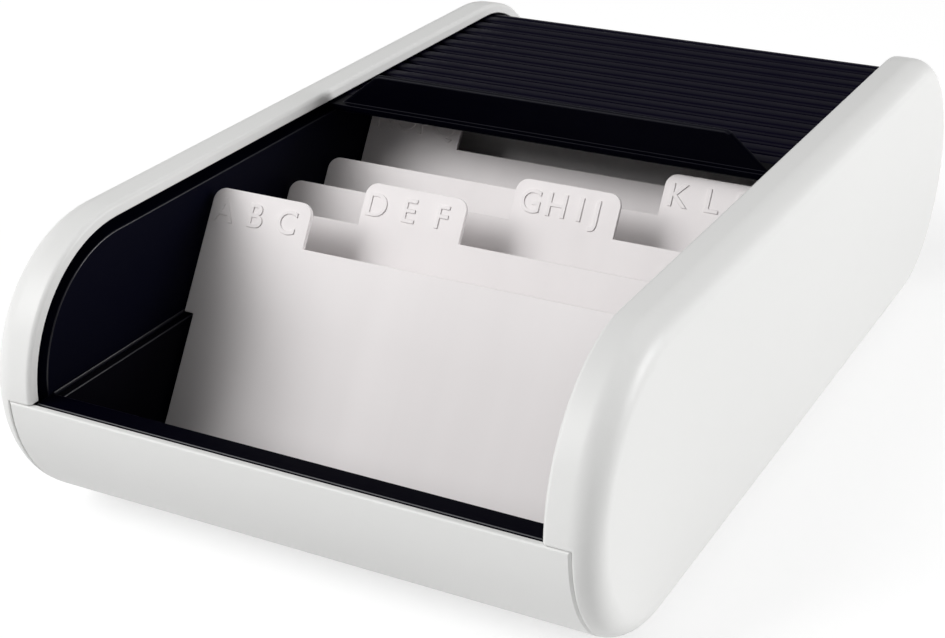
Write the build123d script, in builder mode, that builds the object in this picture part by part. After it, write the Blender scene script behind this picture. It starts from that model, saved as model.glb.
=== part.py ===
from build123d import *
import math
import os

# Business card box with a sliding ribbed shutter, index dividers and rounded side panels.
# Millimetres. Z is up, Y runs from the front lip to the rear, X across the box.
# The origin is on the table, under the middle of the box.

# Overall body
box_width = 136
box_depth = 232
box_height = 64.6
foot_stand = 1.0

# Side panels
rim_width = 10.6
rim_thickness = 2.8
panel_wall = 4.8
edge_round = 5.6
rim_edge_bevel = 0.6
seam_height = 32.0

# Base shell
shell_wall = 1.6
shell_edge_bevel = 0.5
shell_lip_round = 0.5
assembly_gap = 0.15

# Shutter track between the rims and the black liners
track_slot = 2.9
rail_thickness = 1.1
liner_wall = 1.6
bead_width = 1.6
bead_height = 1.1
bead_gap = 0.1

# Bosses by which each liner is welded to its side panel
boss_radius = 4.0
boss_spacing = 130

# Inner tray
tray_wall = 1.5
floor_raise = 2.2
ledge_drop = 0.8
ledge_width = 2.2
ledge_thickness = 1.3
tray_gap = 0.2
lip_gap = 0.2
floor_rib_width = 1.2
floor_rib_height = 1.6

# Shutter sheet
sheet_thickness = 1.8
groove_depth = 1.0
groove_width = 1.1
rib_pitch = 6.1
shutter_side_gap = 0.6
track_clearance = 0.55
shutter_opening = 116.5
shutter_tail_setback = 107.0

# Grip bar at the front edge of the shutter
bar_depth = 7.4
bar_round = 0.7
fin_height = 8.0
fin_thickness = 1.6
fin_lean = 4.0
fin_setback = 1.8
fin_root_depth = 1.0
fin_top_width = 90.6
fin_side_gap = 1.0
fin_corner_round = 2.5
fin_edge_round = 0.6

# Dividers
divider_count = 8
divider_columns = 4
divider_pitch = 17.7
first_divider_setback = 38.0
divider_lean = 31.7
divider_thickness = 1.0
divider_headroom = 2.8
tab_height = 10.1
tab_width = 26.0
tab_round = 3.0
shoulder_side_gap = 0.5
foot_side_gap = 0.7
foot_gap = 0.3
shoulder_gap = 0.1

# Rubber feet
foot_radius = 5.0
foot_margin = 14.0
foot_spacing_y = 140
foot_sink = 0.8

# Side profile worked out from the sizes above: flat top and bottom, half-round ends
half_width = box_width / 2
half_height = box_height / 2
mid_height = foot_stand + half_height
crest = foot_stand + box_height
flat_length = box_depth - box_height

# Layers, as distances in from the outer surface
sheet_top = rim_thickness + track_clearance
sheet_bottom = sheet_top + sheet_thickness
rail_top = rim_thickness + track_slot
rail_bottom = rail_top + rail_thickness
bead_top = shell_wall + bead_gap
bead_bottom = bead_top + bead_height

# Levels
seam_level = foot_stand + seam_height
ledge_level = seam_level - ledge_drop
tray_floor = foot_stand + rail_bottom + floor_raise

# Distances out from the middle plane
plate_face = half_width - panel_wall
rim_face = half_width - rim_width
liner_back = rim_face + liner_wall
rail_end = plate_face - assembly_gap
tray_edge = rim_face - tray_gap
tray_inside = rim_face - ledge_width
tray_outside = tray_inside + tray_wall
shell_half = plate_face - assembly_gap
sheet_half = plate_face - bead_width - shutter_side_gap

# Shutter
shutter_front = shutter_opening - box_depth / 2
shutter_tail = box_depth / 2 - shutter_tail_setback
sheet_start = shutter_front + bar_depth
fin_root_width = 2 * (rim_face - fin_side_gap)
fin_rise = fin_height + fin_root_depth
fin_side_angle = math.degrees(math.atan2(fin_rise, (fin_root_width - fin_top_width) / 2))
lean_back = math.radians(fin_lean)
fin_plane = Plane(
    origin=(0, shutter_front + fin_setback, crest - sheet_top - fin_root_depth * math.cos(lean_back)),
    x_dir=(1, 0, 0),
    z_dir=(0, -math.cos(lean_back), math.sin(lean_back)),
)

# Dividers
card_lean = math.radians(divider_lean)
foot_level = tray_floor + foot_gap + divider_thickness * math.sin(card_lean)
shoulder_level = ledge_level + shoulder_gap + divider_thickness * math.sin(card_lean)
shoulder_rise = (shoulder_level - foot_level) / math.cos(card_lean)
tab_top = (crest - sheet_bottom - divider_headroom - foot_level) / math.cos(card_lean)
divider_height = tab_top - tab_height
shoulder_half = rim_face - shoulder_side_gap
foot_half = tray_inside - foot_side_gap
first_divider = first_divider_setback - box_depth / 2
tab_pitch = (2 * shoulder_half - tab_width) / (divider_columns - 1)
divider_feet = [first_divider + number * divider_pitch for number in range(divider_count)]

foot_spacing_x = 2 * (shell_half - foot_margin)


def outline(inset):
    """Edges of the side profile, drawn at a distance in from the outer surface."""
    with BuildLine() as profile:
        corner = Vector(-flat_length / 2, crest - inset)
        heading = Vector(1, 0)
        for _ in range(2):
            run = Line(corner, corner + heading * flat_length)
            run = JernArc(start=run @ 1, tangent=run % 1, radius=half_height - inset, arc_size=-180)
            corner = run @ 1
            heading = run % 1
    return profile.edges()


def groove_places():
    """Places of the shutter's grooves, one rib apart along the way that its ribs follow."""
    with BuildLine() as way:
        run = Line((sheet_start, crest - sheet_top), (flat_length / 2, crest - sheet_top))
        run = JernArc(start=run @ 1, tangent=run % 1, radius=half_height - sheet_top, arc_size=-180)
        Line(run @ 1, (shutter_tail, foot_stand + sheet_top))
    rib_way = way.wire()
    places = []
    for count in range(1, math.ceil(rib_way.length / rib_pitch)):
        point = rib_way.position_at(count * rib_pitch, PositionMode.LENGTH)
        angle = rib_way.tangent_angle_at(count * rib_pitch, PositionMode.LENGTH)
        places.append(Location((point.X, point.Y, 0), (0, 0, angle)))
    return places


outer_edges = outline(0)
rim_inner_edges = outline(rim_thickness)
shell_inner_edges = outline(shell_wall)
bead_top_edges = outline(bead_top)
bead_bottom_edges = outline(bead_bottom)
rail_top_edges = outline(rail_top)
rail_bottom_edges = outline(rail_bottom)
sheet_top_edges = outline(sheet_top)
sheet_bottom_edges = outline(sheet_bottom)
grooves = groove_places()

# Right side panel: a plate whose rim turns in over the shutter's edge, between the front and rear seams
with BuildPart() as right_side_panel:
    with BuildSketch(Plane.YZ.offset(rim_face)):
        make_face(outer_edges)
    extrude(amount=rim_width)
    fillet(right_side_panel.faces().sort_by(Axis.X)[-1].edges(), radius=edge_round)
    chamfer(right_side_panel.faces().sort_by(Axis.X)[0].edges(), length=rim_edge_bevel)
    with BuildSketch(Plane.YZ.offset(rim_face)):
        make_face(rim_inner_edges)
        with Locations((0, seam_level)):
            Rectangle(box_depth, box_height, align=(Align.CENTER, Align.MAX))
    extrude(amount=rim_width - panel_wall, mode=Mode.SUBTRACT)
    # Bead that carries the base shell from inside
    with BuildSketch(Plane.YZ.offset(plate_face - bead_width)):
        make_face(bead_top_edges)
        make_face(bead_bottom_edges, mode=Mode.SUBTRACT)
        with Locations((0, seam_level - bead_height)):
            Rectangle(box_depth, box_height, align=(Align.CENTER, Align.MIN), mode=Mode.SUBTRACT)
    extrude(amount=bead_width)
right_side_panel.part.label = "right_side_panel"

# Left side panel: the mirror image
with BuildPart() as left_side_panel:
    mirror(right_side_panel.part, about=Plane.YZ)
left_side_panel.part.label = "left_side_panel"

# Base shell: front apron, floor and rear apron in one curved wall between the side panels
with BuildPart() as base_shell:
    with BuildSketch(Plane.YZ.offset(-shell_half)):
        make_face(outer_edges)
    extrude(amount=2 * shell_half)
    chamfer(base_shell.faces().filter_by(Axis.X).edges(), length=shell_edge_bevel)
    with BuildSketch(Plane.YZ.offset(-shell_half)):
        make_face(shell_inner_edges)
        with Locations((0, seam_level - assembly_gap)):
            Rectangle(box_depth, box_height, align=(Align.CENTER, Align.MIN))
    extrude(amount=2 * shell_half, mode=Mode.SUBTRACT)
    fillet(base_shell.edges().filter_by(Axis.X).group_by(Axis.Z)[-1], radius=shell_lip_round)
    with BuildSketch(Plane.XY.offset(foot_stand)):
        with GridLocations(foot_spacing_x, foot_spacing_y, 2, 2):
            Circle(foot_radius + assembly_gap)
    extrude(amount=foot_sink, mode=Mode.SUBTRACT)
base_shell.part.label = "base_shell"

# Right liner: black inner wall with the rail that the shutter's edge runs on
with BuildPart() as right_liner:
    with BuildSketch(Plane.YZ.offset(rim_face)):
        make_face(rail_top_edges)
    extrude(amount=liner_wall)
    with BuildSketch(Plane.YZ.offset(liner_back)):
        make_face(rail_top_edges)
        make_face(rail_bottom_edges, mode=Mode.SUBTRACT)
    extrude(amount=rail_end - liner_back)
    with BuildSketch(Plane.YZ.offset(liner_back)):
        with Locations((0, mid_height)):
            with GridLocations(boss_spacing, boss_spacing, 2, 1):
                Circle(boss_radius)
    extrude(amount=rail_end - liner_back)
right_liner.part.label = "right_liner"

# Left liner: the mirror image
with BuildPart() as left_liner:
    mirror(right_liner.part, about=Plane.YZ)
left_liner.part.label = "left_liner"

# Inner tray: curved floor and end walls, side walls, ledges for the dividers' shoulders and a front lip
with BuildPart() as inner_tray:
    with BuildSketch(Plane.YZ.offset(-tray_outside)):
        make_face(rail_top_edges)
    extrude(amount=2 * tray_outside)
    with BuildSketch(Plane.YZ.offset(-tray_edge)):
        make_face(rail_top_edges)
        with Locations((0, ledge_level - ledge_thickness)):
            Rectangle(box_depth, box_height, align=(Align.CENTER, Align.MAX), mode=Mode.SUBTRACT)
    extrude(amount=2 * tray_edge)
    with BuildSketch(Plane.YZ.offset(-tray_edge)):
        with Locations((0, ledge_level)):
            Rectangle(box_depth, box_height, align=(Align.CENTER, Align.MIN))
        with Locations((0, tray_floor - tray_wall)):
            Rectangle(box_depth, box_height, align=(Align.CENTER, Align.MAX))
    extrude(amount=2 * tray_edge, mode=Mode.SUBTRACT)
    with BuildSketch(Plane.YZ.offset(-tray_inside)):
        make_face(rail_bottom_edges)
        with Locations((0, tray_floor)):
            Rectangle(box_depth, box_height, align=(Align.CENTER, Align.MAX), mode=Mode.SUBTRACT)
    extrude(amount=2 * tray_inside, mode=Mode.SUBTRACT)
    with BuildSketch(Plane.YZ.offset(-tray_edge)):
        with Locations((shell_wall + lip_gap - box_depth / 2, seam_level)):
            Rectangle(rail_bottom - shell_wall - lip_gap, ledge_drop + ledge_thickness, align=(Align.MIN, Align.MAX))
    extrude(amount=2 * tray_edge)
    # Floor ribs that stop the dividers' feet from sliding forward
    with BuildSketch(Plane.XY.offset(tray_floor)):
        for foot_line in divider_feet:
            with Locations((0, foot_line - foot_gap)):
                Rectangle(2 * tray_inside, floor_rib_width, align=(Align.CENTER, Align.MAX))
    extrude(amount=floor_rib_height)
inner_tray.part.label = "inner_tray"

# Shutter sheet: one flexible ribbed sheet over the top, down the rear bend and under the tray
with BuildPart() as shutter_sheet:
    with BuildSketch(Plane.YZ.offset(-sheet_half)):
        make_face(sheet_top_edges)
        make_face(sheet_bottom_edges, mode=Mode.SUBTRACT)
        with Locations((sheet_start, mid_height)):
            Rectangle(box_depth, box_height, align=(Align.MAX, Align.MIN), mode=Mode.SUBTRACT)
        with Locations((shutter_tail, mid_height)):
            Rectangle(box_depth, box_height, align=(Align.MAX, Align.MAX), mode=Mode.SUBTRACT)
        with Locations(*grooves):
            Rectangle(groove_width, 2 * groove_depth, mode=Mode.SUBTRACT)
    extrude(amount=2 * sheet_half)
shutter_sheet.part.label = "shutter_sheet"

# Grip bar: front slat of the shutter, with the raised fin that the fingers push
with BuildPart() as shutter_grip:
    with BuildSketch(Plane.YZ.offset(-sheet_half)) as slat:
        with Locations((shutter_front, crest - sheet_top)):
            Rectangle(bar_depth, sheet_thickness, align=(Align.MIN, Align.MAX))
        fillet(slat.vertices().group_by(Axis.Y)[0], radius=bar_round)
    extrude(amount=2 * sheet_half)
    with BuildSketch(fin_plane) as fin:
        Trapezoid(fin_root_width, fin_rise, fin_side_angle, align=(Align.CENTER, Align.MIN))
        fillet(fin.vertices().group_by(Axis.Y)[-1], radius=fin_corner_round)
    extrude(amount=-fin_thickness)
    fillet(shutter_grip.edges().filter_by(Axis.X).sort_by(Axis.Z)[-2:], radius=fin_edge_round)
shutter_grip.part.label = "shutter_grip"


def build_divider(number):
    """One leaning divider: shoulders for the tray's ledges, and a tab in its own column."""
    tab_centre = (number % divider_columns - (divider_columns - 1) / 2) * tab_pitch
    face = Plane(
        origin=(0, divider_feet[number], foot_level),
        x_dir=(1, 0, 0),
        z_dir=(0, -math.cos(card_lean), math.sin(card_lean)),
    )
    with BuildPart() as divider:
        with BuildSketch(face) as card:
            with Locations((0, shoulder_rise)):
                Rectangle(2 * shoulder_half, divider_height - shoulder_rise, align=(Align.CENTER, Align.MIN))
            fillet(card.vertices().group_by(Axis.Y)[-1], radius=tab_round)
            Rectangle(2 * foot_half, divider_height - tab_round, align=(Align.CENTER, Align.MIN))
            with Locations((tab_centre, divider_height - tab_round)):
                Rectangle(tab_width, tab_height + tab_round, align=(Align.CENTER, Align.MIN))
            fillet(card.vertices().group_by(Axis.Y)[-1], radius=tab_round)
        extrude(amount=-divider_thickness)
    return divider.part


# Dividers, numbered from the front
dividers = []
for number in range(divider_count):
    divider = build_divider(number)
    divider.label = f"divider_{number + 1}"
    dividers.append(divider)

# Rubber feet in the recesses of the base shell
feet = []
for end_name, end_side in (("front", -1), ("rear", 1)):
    for side_name, side in (("left", -1), ("right", 1)):
        with BuildPart() as foot:
            with BuildSketch():
                with Locations((side * foot_spacing_x / 2, end_side * foot_spacing_y / 2)):
                    Circle(foot_radius)
            extrude(amount=foot_stand + foot_sink)
        foot.part.label = f"foot_{end_name}_{side_name}"
        feet.append(foot.part)

os.makedirs("parts", exist_ok=True)
shells = [right_side_panel, left_side_panel, base_shell, right_liner, left_liner, inner_tray]
pieces = [shell.part for shell in shells] + [shutter_sheet.part, shutter_grip.part] + dividers + feet
for piece in pieces:
    export_step(piece, f"parts/{piece.label}.step")
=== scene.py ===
"""Business card box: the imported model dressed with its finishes, its ribbed shutter and its index letters."""

import logging
import math
from dataclasses import dataclass, field
from enum import Enum
from typing import Any

import bmesh
import bpy
from mathutils import Matrix, Vector


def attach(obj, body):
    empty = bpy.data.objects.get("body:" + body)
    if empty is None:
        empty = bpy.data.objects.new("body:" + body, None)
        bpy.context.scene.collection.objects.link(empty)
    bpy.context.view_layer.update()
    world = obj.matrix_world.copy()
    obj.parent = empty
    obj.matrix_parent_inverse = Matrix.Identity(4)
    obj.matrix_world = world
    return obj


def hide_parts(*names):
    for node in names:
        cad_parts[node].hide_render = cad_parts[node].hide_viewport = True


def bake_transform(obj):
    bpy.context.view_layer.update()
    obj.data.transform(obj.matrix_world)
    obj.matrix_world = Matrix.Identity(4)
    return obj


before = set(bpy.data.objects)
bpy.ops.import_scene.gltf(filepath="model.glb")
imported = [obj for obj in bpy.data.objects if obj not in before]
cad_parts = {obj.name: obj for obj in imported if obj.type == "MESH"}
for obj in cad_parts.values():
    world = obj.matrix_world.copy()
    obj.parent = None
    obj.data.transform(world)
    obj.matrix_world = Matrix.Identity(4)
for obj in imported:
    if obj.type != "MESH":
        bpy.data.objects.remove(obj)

LOG = logging.getLogger("card_box")
MM = 0.001
ACROSS = (1.0, 0.0, 0.0)
WHITE = (1.0, 1.0, 1.0)
MERGE_DISTANCE = 0.001 * MM
FLAT_ANGLE = math.radians(1)
SHARP_ANGLE = math.radians(35)


class Side(Enum):
    """The two sides of the box, seen from the front."""

    LEFT = -1
    RIGHT = 1


class Grain(Enum):
    """Surface grain of a moulding: how many grains lie on a metre."""

    SATIN = 2600.0
    MATTE = 4200.0


class Value:
    """A number socket whose operators add Math nodes to its tree."""

    def __init__(self, sheet: "NodeSheet", socket: Any) -> None:
        """Wrap a socket.

        Args:
            sheet: The node sheet that the socket belongs to.
            socket: The output socket.
        """
        self.sheet = sheet
        self.socket = socket

    def _combine(self, operation: str, first: Any, second: Any) -> "Value":
        """Join two operands with a Math node."""
        return self.sheet.number("ShaderNodeMath", {"operation": operation}, {0: first, 1: second})

    def __add__(self, other: Any) -> "Value":
        """Sum."""
        return self._combine("ADD", self, other)

    def __sub__(self, other: Any) -> "Value":
        """Difference."""
        return self._combine("SUBTRACT", self, other)

    def __mul__(self, other: Any) -> "Value":
        """Product."""
        return self._combine("MULTIPLY", self, other)

    __radd__ = __add__


class NodeSheet:
    """The node tree of one material or world, and the one way nodes are added to it."""

    def __init__(self, tree: bpy.types.NodeTree) -> None:
        """Empty the tree.

        Args:
            tree: The tree to fill.
        """
        self.tree = tree
        self.tree.nodes.clear()

    def node(self, kind: str, settings: dict[str, Any], sockets: dict[Any, Any]) -> Any:
        """Add a node.

        Args:
            kind: The node's type name.
            settings: Attributes set before the sockets; "stops" fills a colour ramp.
            sockets: Values or links of the input sockets, by name or number.

        Returns:
            The new node.
        """
        node = self.tree.nodes.new(kind)
        for name, value in settings.items():
            if name == "stops":
                self._fill_ramp(node.color_ramp, value)
            else:
                setattr(node, name, value)
        for key, value in sockets.items():
            source = value.socket if isinstance(value, Value) else value
            if isinstance(source, bpy.types.NodeSocket):
                self.tree.links.new(source, node.inputs[key])
            else:
                node.inputs[key].default_value = source
        return node

    def _fill_ramp(self, ramp: bpy.types.ColorRamp, stops: list[tuple[float, float]]) -> None:
        """Set a ramp's two ends to grey levels."""
        for element, (place, level) in zip(ramp.elements, stops):
            element.position = place
            element.color = (level, level, level, 1.0)

    def number(self, kind: str, settings: dict[str, Any], sockets: dict[Any, Any], output: Any = 0) -> Value:
        """Add a node and wrap one of its outputs as a number."""
        return Value(self, self.node(kind, settings, sockets).outputs[output])

    def place(self, stretch: tuple[float, float, float] = (1.0, 1.0, 1.0)) -> Any:
        """Object coordinates in metres, stretched along the axes."""
        start = self.node("ShaderNodeTexCoord", {}, {}).outputs["Object"]
        return self.node("ShaderNodeMapping", {}, {"Vector": start, "Scale": stretch}).outputs["Vector"]

    def noise(
        self, scale: float, detail: float, stretch: tuple[float, float, float] = (1.0, 1.0, 1.0)
    ) -> Value:
        """Noise of a scale in cells per metre."""
        sockets = {"Vector": self.place(stretch), "Scale": scale, "Detail": detail}
        return self.number("ShaderNodeTexNoise", {}, sockets, "Fac")

    def ramp(self, value: Value, low: float, high: float) -> Value:
        """Stretch the range from low to high over 0 to 1."""
        return self.number("ShaderNodeValToRGB", {"stops": [(low, 0.0), (high, 1.0)]}, {"Fac": value})

    def mix_colour(self, share: Any, first: Any, second: Any) -> Any:
        """Mix two colours and give the colour socket."""
        node = self.node("ShaderNodeMix", {"data_type": "RGBA"}, {0: share, 6: first, 7: second})
        return node.outputs[2]

    def surface(self, height: Value, sockets: dict[str, Any]) -> None:
        """End the tree in one shader with a fine relief.

        Args:
            height: The relief in millimetres.
            sockets: Values or links of the shader's other input sockets, by name.
        """
        bump = self.node("ShaderNodeBump", {}, {"Height": height, "Distance": MM, "Strength": 1.0})
        sockets = {**sockets, "Normal": bump.outputs["Normal"]}
        shader = self.node("ShaderNodeBsdfPrincipled", {}, sockets)
        self.node("ShaderNodeOutputMaterial", {}, {"Surface": shader.outputs["BSDF"]})


def new_material(name: str) -> tuple[bpy.types.Material, NodeSheet]:
    """Make a material with an empty node sheet."""
    material = bpy.data.materials.new(name)
    material.use_nodes = True
    return material, NodeSheet(material.node_tree)


def rgba(colour: tuple[float, float, float]) -> tuple[float, float, float, float]:
    """Give a colour full opacity."""
    return (*colour, 1.0)


@dataclass(frozen=True)
class Mottle:
    """Noise that varies a surface: cells on a metre, detail, stretch, and the range spread over 0 to 1."""

    scale: float
    detail: float
    low: float
    high: float
    stretch: tuple[float, float, float] = (1.0, 1.0, 1.0)

    def lay(self, sheet: NodeSheet) -> Value:
        """Add the noise to a node sheet."""
        return sheet.ramp(sheet.noise(self.scale, self.detail, self.stretch), self.low, self.high)


@dataclass(frozen=True)
class SideProfile:
    """The box seen from the side: flat top and bottom, half-round ends, about a level line at mid-height."""

    flat_half: float = 83.7 * MM
    mid_height: float = 33.3 * MM
    end_radius: float = 32.3 * MM

    def radius(self, inset: float) -> float:
        """Radius of the ends at a distance in from the outer surface."""
        return self.end_radius - inset


FLOW_MARKS = Mottle(scale=9.0, detail=3.0, low=0.3, high=0.75)
FINE_SPECKS = Mottle(scale=420.0, detail=2.0, low=0.62, high=0.78)
HANDLING_MARKS = Mottle(scale=60.0, detail=4.0, low=0.5, high=0.72, stretch=(1.0, 0.18, 1.0))
SHEET_STREAKS = Mottle(scale=160.0, detail=3.0, low=0.35, high=0.7, stretch=(1.0, 0.06, 0.06))
SHEET_CLOUDS = Mottle(scale=22.0, detail=3.0, low=0.3, high=0.8)
RUBBER_BLOOM = Mottle(scale=700.0, detail=4.0, low=0.45, high=0.75)


@dataclass(frozen=True)
class MouldedPlastic:
    """Injection-moulded plastic with a fine grain, faint flow marks and light handling marks."""

    name: str
    colour: tuple[float, float, float]
    deep_colour: tuple[float, float, float]
    roughness: float
    roughness_spread: float = 0.08
    grain: Grain = Grain.SATIN
    grain_height: float = 0.012
    specular: float = 0.5
    flow_share: float = 0.7
    wave_scale: float = 45.0
    wave_height: float = 0.048

    def build(self) -> bpy.types.Material:
        """Make the material.

        Returns:
            The finished material.
        """
        material, sheet = new_material(self.name)
        flow = FLOW_MARKS.lay(sheet)
        speck = FINE_SPECKS.lay(sheet)
        tone = flow * self.flow_share + speck * (1.0 - self.flow_share)
        colour = sheet.mix_colour(tone, rgba(self.colour), rgba(self.deep_colour))
        rubbed = HANDLING_MARKS.lay(sheet)
        roughness = self.roughness + (flow - 0.5) * self.roughness_spread
        roughness = roughness + rubbed * (self.roughness_spread / 2)
        grain = sheet.noise(self.grain.value, detail=3.0) * self.grain_height
        wave = sheet.noise(self.wave_scale, detail=1.0) * self.wave_height
        sockets = {"Base Color": colour, "Roughness": roughness, "Specular IOR Level": self.specular}
        sheet.surface(grain + wave, sockets)
        return material


@dataclass(frozen=True)
class SheetPlastic:
    """Rolled plastic sheet of the dividers: silky, with faint streaks up it and a fine pressed grid."""

    name: str
    colour: tuple[float, float, float]
    deep_colour: tuple[float, float, float]
    roughness: float
    roughness_spread: float = 0.06
    streak_share: float = 0.35
    specular: float = 0.4
    grid: float = 150.0
    grid_height: float = 0.004
    grain: float = 900.0
    grain_height: float = 0.01

    def build(self) -> bpy.types.Material:
        """Make the material.

        Returns:
            The finished material.
        """
        material, sheet = new_material(self.name)
        streak = SHEET_STREAKS.lay(sheet)
        cloud = SHEET_CLOUDS.lay(sheet)
        tone = streak * self.streak_share + cloud * (1.0 - self.streak_share)
        colour = sheet.mix_colour(tone, rgba(self.colour), rgba(self.deep_colour))
        roughness = self.roughness + streak * self.roughness_spread + cloud * self.roughness_spread
        across = self._wave(sheet, "X")
        upward = self._wave(sheet, "Z")
        grid = across * upward * self.grid_height
        grain = sheet.noise(self.grain, detail=2.0) * self.grain_height
        sockets = {"Base Color": colour, "Roughness": roughness, "Specular IOR Level": self.specular}
        sheet.surface(grid + grain, sockets)
        return material

    def _wave(self, sheet: NodeSheet, axis: str) -> Value:
        """Even waves along one axis."""
        settings = {"wave_type": "BANDS", "bands_direction": axis}
        sockets = {"Vector": sheet.place(), "Scale": self.grid}
        return sheet.number("ShaderNodeTexWave", settings, sockets, "Fac")


@dataclass(frozen=True)
class SoftRubber:
    """Dull rubber with a powdery bloom."""

    name: str
    colour: tuple[float, float, float]
    bloom_colour: tuple[float, float, float]
    bloom_share: float = 0.4
    roughness: float = 0.8
    roughness_spread: float = 0.15
    grain: float = 3000.0
    grain_height: float = 0.03

    def build(self) -> bpy.types.Material:
        """Make the material.

        Returns:
            The finished material.
        """
        material, sheet = new_material(self.name)
        bloom = RUBBER_BLOOM.lay(sheet)
        colour = sheet.mix_colour(bloom * self.bloom_share, rgba(self.colour), rgba(self.bloom_colour))
        roughness = self.roughness + bloom * self.roughness_spread
        grain = sheet.noise(self.grain, detail=2.0) * self.grain_height
        sheet.surface(grain, {"Base Color": colour, "Roughness": roughness})
        return material


WHITE_SHELL = MouldedPlastic(
    name="white_moulding",
    colour=(0.8, 0.8, 0.79),
    deep_colour=(0.78, 0.78, 0.77),
    roughness=0.38,
    roughness_spread=0.06,
    specular=0.3,
)
BLACK_LINING = MouldedPlastic(
    name="black_lining",
    colour=(0.0012, 0.0014, 0.0062),
    deep_colour=(0.0017, 0.0019, 0.0078),
    roughness=0.42,
    specular=0.018,
)
BLACK_TRAY = MouldedPlastic(
    name="black_tray_moulding",
    colour=(0.0005, 0.0004, 0.003),
    deep_colour=(0.0009, 0.0008, 0.0042),
    roughness=0.46,
    specular=0.028,
)
# Lighter, glossier black on the rounded edges of the liners and the tray and on the ledge beads: a painted
# highlight.
BLACK_EDGE_HIGHLIGHT = MouldedPlastic(
    name="black_edge_painted_highlight",
    colour=(0.004, 0.004, 0.009),
    deep_colour=(0.005, 0.005, 0.011),
    roughness=0.3,
    specular=0.5,
)
SHUTTER_BLACK = MouldedPlastic(
    name="shutter_black",
    colour=(0.0015, 0.0008, 0.0074),
    deep_colour=(0.002, 0.0012, 0.0086),
    roughness=0.4,
    grain=Grain.MATTE,
    specular=0.042,
)
GRIP_BLACK = MouldedPlastic(
    name="grip_black",
    colour=(0.0004, 0.0004, 0.0022),
    deep_colour=(0.0007, 0.0007, 0.003),
    roughness=0.36,
    specular=0.02,
)
# Lighter, glossier black on the grip's rounded edges and slim faces: a painted highlight.
GRIP_EDGE_HIGHLIGHT = MouldedPlastic(
    name="grip_edge_painted_highlight",
    colour=(0.001, 0.001, 0.0045),
    deep_colour=(0.0016, 0.0016, 0.006),
    roughness=0.46,
    specular=0.11,
)
DIVIDER_WHITE = SheetPlastic(
    name="divider_white",
    colour=(0.9, 0.862, 0.862),
    deep_colour=(0.875, 0.838, 0.838),
    roughness=0.5,
)
FOOT_RUBBER = SoftRubber(
    name="foot_rubber",
    colour=(0.03, 0.03, 0.03),
    bloom_colour=(0.16, 0.16, 0.16),
)


def dress(node: bpy.types.Object, material: bpy.types.Material) -> None:
    """Put one material on every slot of an object."""
    if not node.material_slots:
        node.data.materials.append(material)
    for slot in node.material_slots:
        slot.material = material


def new_piece(
    name: str, shape: bmesh.types.BMesh, material: bpy.types.Material, smooth: bool
) -> bpy.types.Object:
    """Turn a finished bmesh into a linked object at the origin.

    Args:
        name: The piece's name.
        shape: The bmesh, in metres, freed here.
        material: The finish of the piece.
        smooth: Whether its faces are shaded smooth by angle.

    Returns:
        The new object.
    """
    bmesh.ops.recalc_face_normals(shape, faces=shape.faces)
    mesh = bpy.data.meshes.new(name)
    shape.to_mesh(mesh)
    shape.free()
    piece = bpy.data.objects.new(name, mesh)
    bpy.context.scene.collection.objects.link(piece)
    piece.data.materials.append(material)
    if smooth:
        piece.data.shade_smooth()
        piece.data.set_sharp_from_angle(angle=SHARP_ANGLE)
    return piece


@dataclass(frozen=True)
class EdgeRounding:
    """The small round that a mould leaves along the edges of a piece."""

    radius: float
    sharpest: float = math.radians(30)
    steps: int = 3
    join_flats: bool = True
    # Faces smaller than this take the painted highlight finish too.
    narrowest: float = 0.0

    def soften(
        self,
        node_name: str,
        piece_name: str,
        body: str,
        material: bpy.types.Material,
        edge_highlight_material: bpy.types.Material | None = None,
    ) -> bpy.types.Object:
        """Copy a solid of the frame, round its edges and let the copy stand for it.

        Args:
            node_name: The solid's name.
            piece_name: The name of the new piece.
            body: The body that it moves with.
            material: Its finish.
            edge_highlight_material: The finish of its rounded edges, where it differs.

        Returns:
            The new piece.
        """
        shape = bmesh.new()
        shape.from_mesh(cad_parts[node_name].data)
        bmesh.ops.remove_doubles(shape, verts=shape.verts, dist=MERGE_DISTANCE)
        if self.join_flats:
            bmesh.ops.dissolve_limit(shape, angle_limit=FLAT_ANGLE, verts=shape.verts, edges=shape.edges)
        edges = [edge for edge in shape.edges if edge.is_manifold and edge.calc_face_angle() > self.sharpest]
        # Slim faces, like the rounded edges, may take the painted highlight finish.
        slim_highlight_faces = [face for face in shape.faces if face.calc_area() < self.narrowest]
        rounded = bmesh.ops.bevel(
            shape,
            geom=edges,
            offset=self.radius,
            affect="EDGES",
            segments=self.steps,
            profile=0.5,
            material=-1,
            clamp_overlap=False,
        )
        # The rounded edges and slim faces take the second material, a painted highlight.
        if edge_highlight_material:
            for face in rounded["faces"] + [face for face in slim_highlight_faces if face.is_valid]:
                face.material_index = 1
        piece = new_piece(piece_name, shape, material, smooth=True)
        if edge_highlight_material:
            piece.data.materials.append(edge_highlight_material)
        level = piece.modifiers.new("level_faces", "WEIGHTED_NORMAL")
        level.keep_sharp = True
        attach(piece, body)
        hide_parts(node_name)
        return piece


@dataclass
class SidePanels:
    """The two rounded white side panels."""

    rounding: EdgeRounding = EdgeRounding(0.34 * MM)
    finish: MouldedPlastic = WHITE_SHELL

    def build(self) -> None:
        """Round and dress both panels."""
        material = self.finish.build()
        for side in Side:
            name = f"{side.name.lower()}_side_panel"
            self.rounding.soften(name, f"{name}_moulding", "box", material)
        LOG.info("side panels dressed")


@dataclass
class BaseShell:
    """The white shell that makes the apron and the floor, on its four rubber feet."""

    finish: MouldedPlastic = WHITE_SHELL
    foot_finish: SoftRubber = FOOT_RUBBER

    def build(self) -> None:
        """Dress the shell and the feet."""
        dress(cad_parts["base_shell"], self.finish.build())
        rubber = self.foot_finish.build()
        for end in ("front", "rear"):
            for side in Side:
                dress(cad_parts[f"foot_{end}_{side.name.lower()}"], rubber)
        LOG.info("base shell and feet dressed")


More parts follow.
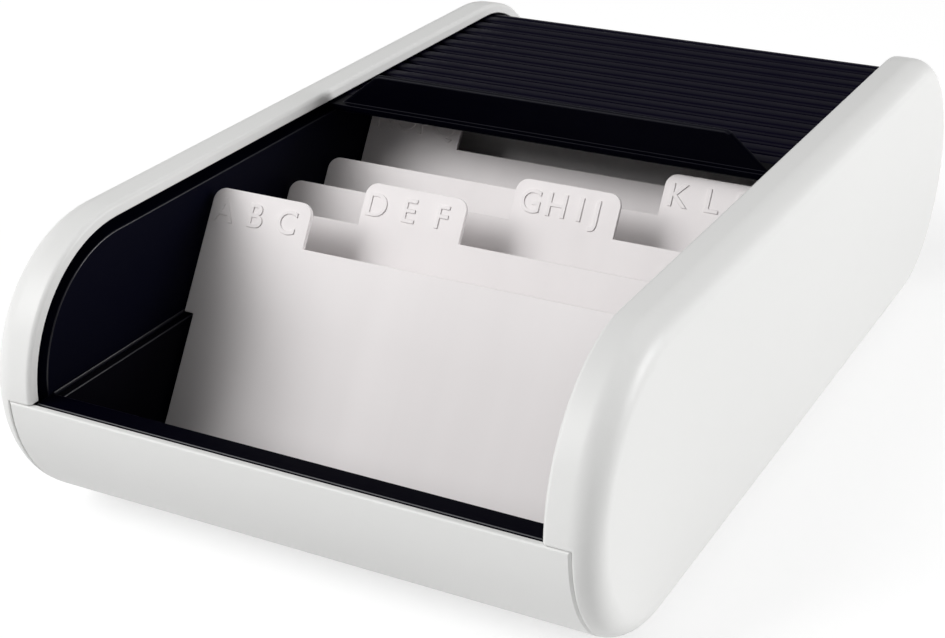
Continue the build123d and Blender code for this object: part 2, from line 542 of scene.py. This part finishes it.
@dataclass
class Lining:
    """The black liners of the side panels and the black inner tray."""

    rounding: EdgeRounding = EdgeRounding(0.25 * MM)
    tray_rounding: EdgeRounding = EdgeRounding(0.25 * MM, join_flats=False)
    ledge_level: float = 32.2 * MM
    bead_inside: float = 56.95 * MM
    bead_size: tuple[float, float, float] = (0.4 * MM, 218.0 * MM, 1.0 * MM)
    bead_round: float = 0.18 * MM
    profile: SideProfile = SideProfile()
    flange_inside: float = 62.85 * MM
    flange_inset: float = 4.25 * MM
    flange_size: tuple[float, float] = (0.25 * MM, 2.8 * MM)
    flange_steps: int = 32
    liner_finish: MouldedPlastic = BLACK_LINING
    tray_finish: MouldedPlastic = BLACK_TRAY
    edge_highlight_finish: MouldedPlastic = BLACK_EDGE_HIGHLIGHT

    def build(self) -> None:
        """Round and dress the liners and the tray, line the tracks and lay the beads along the ledges."""
        material = self.liner_finish.build()
        # The edge finish paints highlights on the rounded edges of the liners and the tray and on the beads.
        edge = self.edge_highlight_finish.build()
        for side in Side:
            name = f"{side.name.lower()}_liner"
            self.rounding.soften(name, f"{name}_moulding", "box", material, edge)
            self._track_flange(side, material)
            self._bead(side, edge)
        self.tray_rounding.soften("inner_tray", "inner_tray_moulding", "box", self.tray_finish.build(), edge)
        LOG.info("liners and tray dressed")

    def _track_flange(self, side: Side, material: bpy.types.Material) -> None:
        """Run the liner's thin flange round the back of the shutter's track.

        Args:
            side: The side of the box.
            material: Its finish.
        """
        shape = bmesh.new()
        section = bmesh.ops.create_grid(shape, x_segments=1, y_segments=1, size=0.5)["verts"]
        bmesh.ops.scale(shape, vec=(*self.flange_size, 1.0), verts=section)
        across = side.value * (self.flange_inside + self.flange_size[0] / 2)
        front = -self.profile.flat_half
        level = self.profile.mid_height + self.profile.radius(self.flange_inset)
        stand = Matrix.Rotation(math.pi / 2, 4, "X")
        bmesh.ops.transform(shape, matrix=Matrix.Translation((across, front, level)) @ stand, verts=section)
        bmesh.ops.delete(shape, geom=list(shape.faces), context="FACES_ONLY")
        last = list(shape.verts) + list(shape.edges)
        for way in (1.0, -1.0):
            pivot = {"cent": (0.0, -way * front, self.profile.mid_height), "axis": ACROSS}
            advance = (0.0, -2 * way * front, 0.0)
            run = bmesh.ops.spin(shape, geom=last, dvec=advance, angle=0.0, steps=1, **pivot)["geom_last"]
            bend = bmesh.ops.spin(shape, geom=run, angle=-math.pi, steps=self.flange_steps, **pivot)
            last = bend["geom_last"]
        bmesh.ops.remove_doubles(shape, verts=shape.verts, dist=MERGE_DISTANCE)
        flange = new_piece(f"{side.name.lower()}_track_flange", shape, material, smooth=True)
        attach(flange, "box")

    def _bead(self, side: Side, material: bpy.types.Material) -> None:
        """Lay the low bead of the tray along the foot of one liner.

        Args:
            side: The side of the box.
            material: Its finish, the lighter edge black, which paints a highlight line along the ledge.
        """
        shape = bmesh.new()
        verts = bmesh.ops.create_cube(shape, size=1.0)["verts"]
        bmesh.ops.scale(shape, vec=self.bead_size, verts=verts)
        width, _, height = self.bead_size
        place = (side.value * (self.bead_inside + width / 2), 0.0, self.ledge_level + height / 2)
        bmesh.ops.translate(shape, vec=place, verts=verts)
        edges = list(shape.edges)
        bmesh.ops.bevel(
            shape, geom=edges, offset=self.bead_round, affect="EDGES", segments=3, profile=0.5, material=-1
        )
        bead = new_piece(f"{side.name.lower()}_ledge_bead", shape, material, smooth=True)
        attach(bead, "box")


class Run(Enum):
    """The two parts of the ribbed sheet: the upper run and the lower run."""

    UPPER = "shutter_upper_ribs"
    LOWER = "shutter_lower_ribs"


@dataclass
class Shutter:
    """The ribbed shutter sheet and the grip bar at its front edge."""

    profile: SideProfile = SideProfile()
    start: float = 7.9 * MM
    inset: float = 3.35 * MM
    tail: float = 9.0 * MM
    rib_pitch: float = 6.1 * MM
    groove: float = 1.6 * MM
    rib_height: float = 1.0 * MM
    thickness: float = 1.8 * MM
    rib_round: float = 0.9 * MM
    rib_root: float = 0.25 * MM
    half_width: float = 61.0 * MM
    step: float = 3.0 * MM
    bend_steps: int = 16
    pull_start: tuple[float, float, float] = (0.0, 95.0 * MM, 0.0)
    pull_end: tuple[float, float, float] = (0.0, 6.5 * MM, 0.0)
    # Faces of the grip under this area also take the painted highlight finish.
    grip_rounding: EdgeRounding = EdgeRounding(0.15 * MM, narrowest=60.0 * MM * MM)
    edge_highlight_finish: MouldedPlastic = GRIP_EDGE_HIGHLIGHT
    finish: MouldedPlastic = SHUTTER_BLACK
    grip_finish: MouldedPlastic = GRIP_BLACK

    def build(self) -> None:
        """Round and dress the grip bar and build the two runs of the ribbed sheet."""
        grip = self.grip_finish.build()
        # The edge finish paints highlights on the grip's rounded edges and slim faces.
        edge = self.edge_highlight_finish.build()
        self.grip_rounding.soften("shutter_grip", "shutter_grip_moulding", "shutter", grip, edge)
        material = self.finish.build()
        for run in Run:
            piece = self._run(run, material)
            if run is Run.UPPER:
                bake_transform(piece)
            else:
                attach(piece, "box")
            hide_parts("shutter_sheet")
            LOG.info("%s built", run.value)

    @property
    def bend_start(self) -> float:
        """Where the rear bend starts."""
        return self.profile.flat_half

    @property
    def bend_centre(self) -> float:
        """Height of the rear bend's centre."""
        return self.profile.mid_height

    @property
    def top_radius(self) -> float:
        """Radius of the rear bend at the tops of the ribs."""
        return self.profile.radius(self.inset)

    def _half_way(self) -> float:
        """Length of the way from the front of the sheet to the middle of the bend."""
        return self.bend_start - self.start + self.top_radius * math.pi / 2

    def _whole_way(self) -> float:
        """Length of the whole way, measured along the tops of the ribs."""
        return self.bend_start - self.start + self.top_radius * math.pi + self.bend_start - self.tail

    def _place(self, distance: float) -> Matrix:
        """Frame of the way at a distance: Y along it, Z out of it.

        Args:
            distance: The distance from the front of the sheet.

        Returns:
            The frame, with its origin on the tops of the ribs.
        """
        straight = self.bend_start - self.start
        bend = self.top_radius * math.pi
        centre = Matrix.Translation((0.0, self.bend_start, self.bend_centre))
        if distance < straight:
            return centre @ Matrix.Translation((0.0, distance - straight, self.top_radius))
        turned = min(distance - straight, bend)
        beyond = distance - straight - turned
        turn = Matrix.Rotation(-turned / self.top_radius, 4, "X")
        return centre @ turn @ Matrix.Translation((0.0, beyond, self.top_radius))

    def _run(self, run: Run, material: bpy.types.Material) -> bpy.types.Object:
        """Build one run: a thin web with its ribs on it.

        Args:
            run: Which run.
            material: Its finish.

        Returns:
            The run.
        """
        shape = bmesh.new()
        upper = run is Run.UPPER
        self._web(shape, upper)
        count = math.ceil(self._whole_way() / self.rib_pitch)
        for number in range(count):
            front = number * self.rib_pitch + (self.groove / 2 if number else 0.0)
            back = min((number + 1) * self.rib_pitch - self.groove / 2, self._whole_way())
            if (front < self._half_way()) == upper and back > front:
                self._rib(shape, front, back)
        return new_piece(run.value, shape, material, smooth=True)

    def _web(self, shape: bmesh.types.BMesh, upper: bool) -> None:
        """Sweep the thin web along the straight and half of the bend.

        Args:
            shape: The run's bmesh.
            upper: Whether the run is the upper one.
        """
        inside = self.top_radius - self.thickness
        outside = self.top_radius - self.rib_height
        side = 1.0 if upper else -1.0
        first = self.start if upper else self.tail
        section = bmesh.ops.create_grid(shape, x_segments=1, y_segments=1, size=0.5)["verts"]
        size = (2 * self.half_width, outside - inside, 1.0)
        bmesh.ops.scale(shape, vec=size, verts=section)
        stand = Matrix.Rotation(math.pi / 2, 4, "X")
        place = Matrix.Translation((0.0, first, self.bend_centre + side * (inside + outside) / 2))
        bmesh.ops.transform(shape, matrix=place @ stand, verts=section)
        steps = math.ceil((self.bend_start - first) / self.step)
        pivot = {"cent": (0.0, self.bend_start, self.bend_centre), "axis": ACROSS}
        advance = (0.0, (self.bend_start - first) / steps, 0.0)
        geom = list(shape.verts) + list(shape.edges) + list(shape.faces)
        run = bmesh.ops.spin(shape, geom=geom, dvec=advance, angle=0.0, steps=steps, **pivot)["geom_last"]
        bmesh.ops.spin(shape, geom=run, angle=-side * math.pi / 2, steps=self.bend_steps, **pivot)

    def _rib(self, shape: bmesh.types.BMesh, front: float, back: float) -> None:
        """Add one rib with rounded shoulders.

        Args:
            shape: The run's bmesh.
            front: Where the rib starts along the way.
            back: Where it ends.
        """
        verts = bmesh.ops.create_cube(shape, size=1.0)["verts"]
        height = self.rib_height + self.rib_root
        bmesh.ops.scale(shape, vec=(2 * self.half_width, back - front, height), verts=verts)
        bmesh.ops.translate(shape, vec=(0.0, 0.0, -height / 2), verts=verts)
        edges = {edge for vert in verts for edge in vert.link_edges}
        shoulders = [edge for edge in edges if self._is_shoulder(edge, -height / 2)]
        own_faces = {face for vert in verts for face in vert.link_faces}
        rounded = bmesh.ops.bevel(
            shape, geom=shoulders, offset=self.rib_round, affect="EDGES", segments=4, profile=0.5, material=-1
        )
        kept = {vert for vert in verts if vert.is_valid} | set(rounded["verts"])
        kept |= {vert for face in own_faces if face.is_valid for vert in face.verts}
        bmesh.ops.transform(shape, matrix=self._place((front + back) / 2), verts=list(kept))

    def _is_shoulder(self, edge: bmesh.types.BMEdge, middle: float) -> bool:
        """Whether an edge runs across the sheet on the upper side of a rib."""
        first, last = edge.verts
        return abs(first.co.x - last.co.x) > self.half_width and first.co.z > middle and last.co.z > middle


@dataclass
class DividerSet:
    """The leaning dividers and the raised index letters on their tabs."""

    lean: float = math.radians(31.7)
    first_foot: float = -78.0 * MM
    pitch: float = 17.7 * MM
    foot_level: float = 10.825 * MM
    tab_top: float = 55.04 * MM
    tab_pitch: float = 29.27 * MM
    columns: int = 4
    letter_height: float = 5.4 * MM
    letter_drop: float = 2.2 * MM
    letter_shift: float = -1.0 * MM
    letter_relief: float = 0.18 * MM
    letter_round: float = 0.1 * MM
    capital_share: float = 0.7
    rounding: EdgeRounding = EdgeRounding(0.22 * MM)
    groups: tuple[str, ...] = ("ABC", "DEF", "GHIJ", "KLM", "NOPQ", "RST", "UVW", "XYZ")
    spacing: float = 8.3 * MM
    tight_places: dict[str, tuple[float, ...]] = field(
        default_factory=lambda: {
            "GHIJ": (-7.6 * MM, -1.1 * MM, 4.8 * MM, 8.9 * MM),
            "NOPQ": (-7.8 * MM, -2.0 * MM, 3.8 * MM, 9.2 * MM),
        }
    )
    finish: SheetPlastic = DIVIDER_WHITE

    def build(self) -> None:
        """Dress the dividers and raise the letters."""
        material = self.finish.build()
        for number, letters in enumerate(self.groups):
            name = f"divider_{number + 1}"
            self.rounding.soften(name, f"{name}_sheet", name, material)
            piece = self._letters(f"letters_{number + 1}", letters, number, material)
            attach(piece, name)
            LOG.info("divider %d dressed, with its letters", number + 1)

    def _letters(
        self, name: str, letters: str, number: int, material: bpy.types.Material
    ) -> bpy.types.Object:
        """Raise one group of letters on its tab.

        Args:
            name: The piece's name.
            letters: The group of letters.
            number: The divider's number, counted from 0 at the front.
            material: The sheet's material.

        Returns:
            The letters as one object.
        """
        shape = bmesh.new()
        centre = (number % self.columns - (self.columns - 1) / 2) * self.tab_pitch + self.letter_shift
        for letter, place in zip(letters, self._places(letters)):
            self._add_letter(shape, letter, centre + place, number)
        return new_piece(name, shape, material, smooth=False)

    def _places(self, letters: str) -> tuple[float, ...]:
        """Where the letters of a group lie, measured across from the middle of the group."""
        middle = (len(letters) - 1) / 2
        even = tuple((place - middle) * self.spacing for place in range(len(letters)))
        return self.tight_places.get(letters, even)

    def _add_letter(self, shape: bmesh.types.BMesh, letter: str, across: float, number: int) -> None:
        """Add one letter to a group.

        Args:
            shape: The group's bmesh.
            letter: The letter.
            across: Its centre across the divider.
            number: The divider's number, counted from 0 at the front.
        """
        curve = bpy.data.curves.new("letter", "FONT")
        curve.body = letter
        curve.size = self.letter_height / self.capital_share
        curve.align_x = "CENTER"
        curve.resolution_u = 4
        curve.extrude = self.letter_relief
        curve.bevel_depth = self.letter_round
        curve.bevel_resolution = 1
        holder = bpy.data.objects.new("letter", curve)
        bpy.context.scene.collection.objects.link(holder)
        graph = bpy.context.evaluated_depsgraph_get()
        mesh = bpy.data.meshes.new_from_object(holder.evaluated_get(graph))
        bpy.data.objects.remove(holder)
        bpy.data.curves.remove(curve)
        rise = self.tab_top - self.letter_drop - self.letter_height
        mesh.transform(Matrix.Translation((across, rise, 0.0)))
        mesh.transform(self._face(number))
        shape.from_mesh(mesh)
        bpy.data.meshes.remove(mesh)

    def _face(self, number: int) -> Matrix:
        """Frame of a divider's front face: X across, Y up the sheet, Z out of it."""
        foot = self.first_foot + number * self.pitch
        columns = (
            Vector((1.0, 0.0, 0.0)),
            Vector((0.0, math.sin(self.lean), math.cos(self.lean))),
            Vector((0.0, -math.cos(self.lean), math.sin(self.lean))),
        )
        matrix = Matrix(columns).transposed().to_4x4()
        matrix.translation = Vector((0.0, foot, self.foot_level))
        return matrix


@dataclass(frozen=True)
class Lamp:
    """A square area lamp: its name, its place, its power in watts and the length of its side."""

    name: str
    place: tuple[float, float, float]
    power: float
    size: float

    def hang(self, aim: Vector) -> None:
        """Hang the lamp so that it faces a point."""
        data = bpy.data.lights.new(self.name, "AREA")
        data.energy = self.power
        data.size = self.size
        lamp = bpy.data.objects.new(self.name, data)
        lamp.location = self.place
        lamp.rotation_mode = "QUATERNION"
        lamp.rotation_quaternion = (aim - Vector(self.place)).to_track_quat("-Z", "Y")
        bpy.context.scene.collection.objects.link(lamp)


@dataclass
class Studio:
    """Pale floor, soft lamps, white surroundings and the camera of the photograph."""

    camera_place: tuple[float, float, float] = (0.1799, -0.3677, 0.2093)
    yaw: float = math.radians(27.696)
    pitch: float = math.radians(23.191)
    roll: float = math.radians(-0.503)
    lens: float = 70.887
    shift: tuple[float, float] = (-0.01852, -0.07302)
    sensor: float = 36.0
    nearest: float = 0.01
    aim: tuple[float, float, float] = (0.0, 0.0, 0.04)
    floor_size: float = 12.0
    floor_colour: float = 0.82
    shown_colour: float = 0.45
    shown_glow: float = 0.66
    fade_scale: float = 0.7
    fade: tuple[float, float] = (0.25, 0.75)
    ambient: float = 0.24
    lamps: tuple[Lamp, ...] = (
        Lamp("front_lamp", place=(-0.74, -0.97, 0.97), power=16.0, size=0.8),
        Lamp("crown_lamp", place=(-0.34, -0.45, 1.32), power=1.8, size=0.5),
        Lamp("side_lamp", place=(1.95, 1.15, 0.55), power=38.5, size=0.9),
    )

    def build(self) -> None:
        """Make the floor, the lamps, the surroundings and the camera."""
        self._floor()
        self._world()
        for lamp in self.lamps:
            lamp.hang(Vector(self.aim))
        self._camera()
        bpy.context.scene.view_settings.view_transform = "Standard"
        LOG.info("studio built")

    def _floor(self) -> None:
        """Pale floor that turns plain white away from the object and keeps its shadow."""
        shape = bmesh.new()
        bmesh.ops.create_grid(shape, x_segments=1, y_segments=1, size=self.floor_size / 2)
        material, sheet = new_material("floor_finish")
        rays = sheet.node("ShaderNodeLightPath", {}, {})
        seen = Value(sheet, rays.outputs["Is Camera Ray"]) + Value(sheet, rays.outputs["Is Glossy Ray"])
        solid = sheet.node("ShaderNodeBsdfDiffuse", {}, {"Color": rgba((self.floor_colour,) * 3)})
        pale = sheet.node("ShaderNodeBsdfDiffuse", {}, {"Color": rgba((self.shown_colour,) * 3)})
        glow = sheet.node("ShaderNodeEmission", {}, {"Color": rgba(WHITE), "Strength": self.shown_glow})
        shown = sheet.node("ShaderNodeAddShader", {}, {0: pale.outputs[0], 1: glow.outputs[0]})
        near = sheet.node("ShaderNodeMixShader", {}, {0: seen, 1: solid.outputs[0], 2: shown.outputs[0]})
        place = sheet.place((self.fade_scale,) * 3)
        away = sheet.number("ShaderNodeVectorMath", {"operation": "LENGTH"}, {0: place}, "Value")
        white = sheet.node("ShaderNodeEmission", {}, {"Color": rgba(WHITE), "Strength": 1.0})
        share = sheet.ramp(away, *self.fade) * seen
        mixed = sheet.node("ShaderNodeMixShader", {}, {0: share, 1: near.outputs[0], 2: white.outputs[0]})
        sheet.node("ShaderNodeOutputMaterial", {}, {"Surface": mixed.outputs[0]})
        new_piece("floor", shape, material, smooth=False)

    def _world(self) -> None:
        """White seen directly, soft grey light otherwise."""
        world = bpy.data.worlds.new("surroundings")
        world.use_nodes = True
        bpy.context.scene.world = world
        sheet = NodeSheet(world.node_tree)
        rays = sheet.node("ShaderNodeLightPath", {}, {})
        white = sheet.node("ShaderNodeBackground", {}, {"Color": rgba(WHITE), "Strength": 1.0})
        soft = sheet.node("ShaderNodeBackground", {}, {"Color": rgba(WHITE), "Strength": self.ambient})
        sockets = {0: rays.outputs["Is Camera Ray"], 1: soft.outputs[0], 2: white.outputs[0]}
        mixed = sheet.node("ShaderNodeMixShader", {}, sockets)
        sheet.node("ShaderNodeOutputWorld", {}, {"Surface": mixed.outputs[0]})

    def _camera(self) -> None:
        """Set the camera at the photograph's viewpoint."""
        data = bpy.data.cameras.new("camera")
        data.lens = self.lens
        data.sensor_width = self.sensor
        data.sensor_fit = "HORIZONTAL"
        data.shift_x, data.shift_y = self.shift
        data.clip_start = self.nearest
        camera = bpy.data.objects.new("camera", data)
        turn = (
            Matrix.Rotation(self.yaw, 4, "Z")
            @ Matrix.Rotation(math.pi / 2 - self.pitch, 4, "X")
            @ Matrix.Rotation(self.roll, 4, "Z")
        )
        camera.matrix_world = Matrix.Translation(self.camera_place) @ turn
        bpy.context.scene.collection.objects.link(camera)
        bpy.context.scene.camera = camera


def main() -> None:
    """Build and dress the whole box, then the studio around it."""
    logging.basicConfig(level=logging.INFO, format="%(name)s: %(message)s")
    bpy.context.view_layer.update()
    for assembly in (SidePanels(), BaseShell(), Lining(), Shutter(), DividerSet(), Studio()):
        assembly.build()
    LOG.info("sizes written")


if __name__ == "__main__":
    main()
